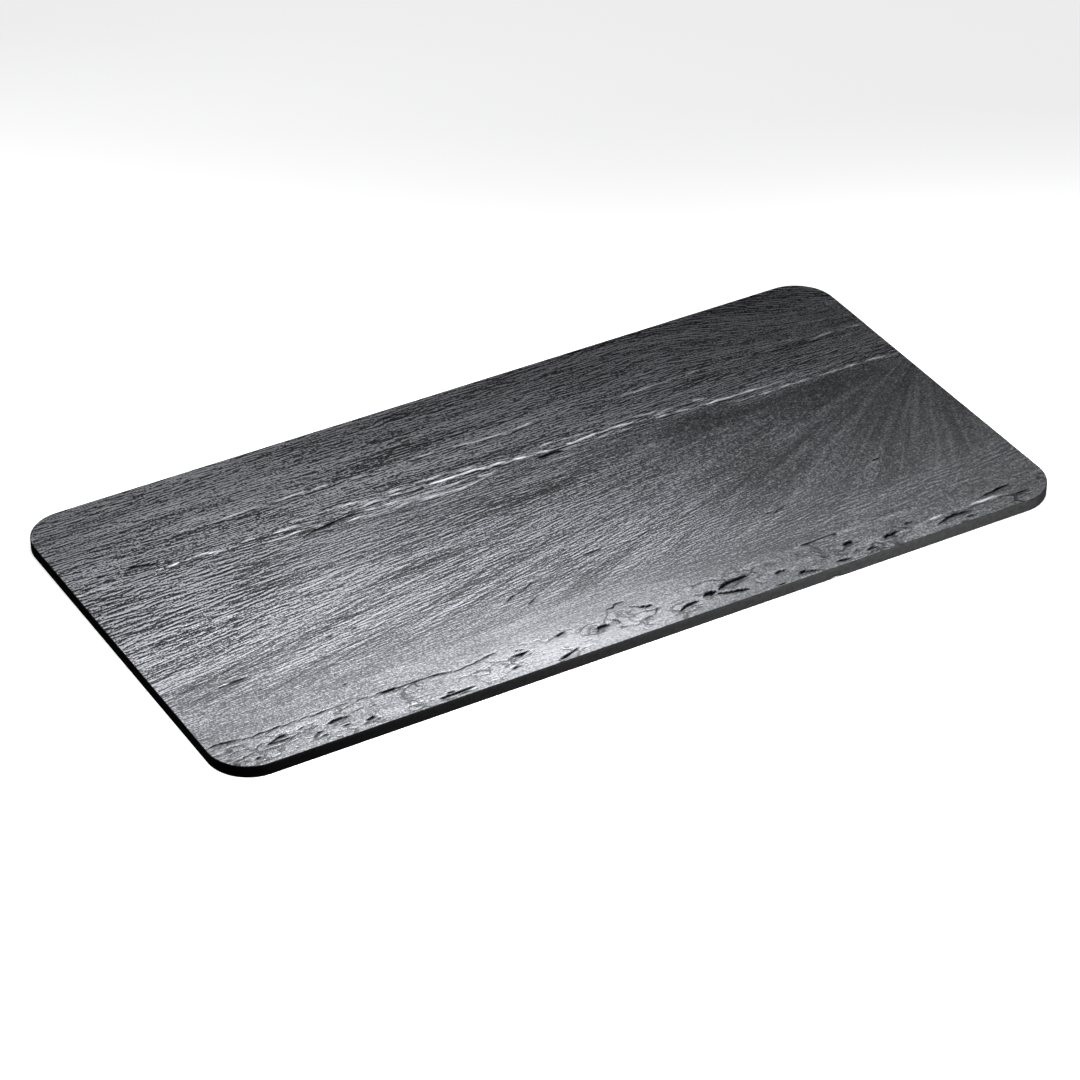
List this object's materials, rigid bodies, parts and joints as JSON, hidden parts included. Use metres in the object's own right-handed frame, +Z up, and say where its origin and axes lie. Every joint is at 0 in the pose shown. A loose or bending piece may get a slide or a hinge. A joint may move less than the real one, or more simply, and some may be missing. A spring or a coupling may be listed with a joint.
{
  "type": "slate slab",
  "caption": "Thin rectangular slab of dark riven slate with rounded corners and ground edges, lying flat to serve or stand things on.",
  "frame": {"origin": "middle of the flat underside, on the surface that the slab lies on", "axes": "+X along the length, +Y across the width towards the back edge, +Z up out of the riven top"},
  "size_m": [0.4, 0.2, 0.0062],
  "materials": {
    "slate": "riven top and underside with a satin sheen, ground edges, matt and nearly black"
  },
  "bodies": {
    "root": {"slate_slab": "slate"}
  },
  "joints": []
}
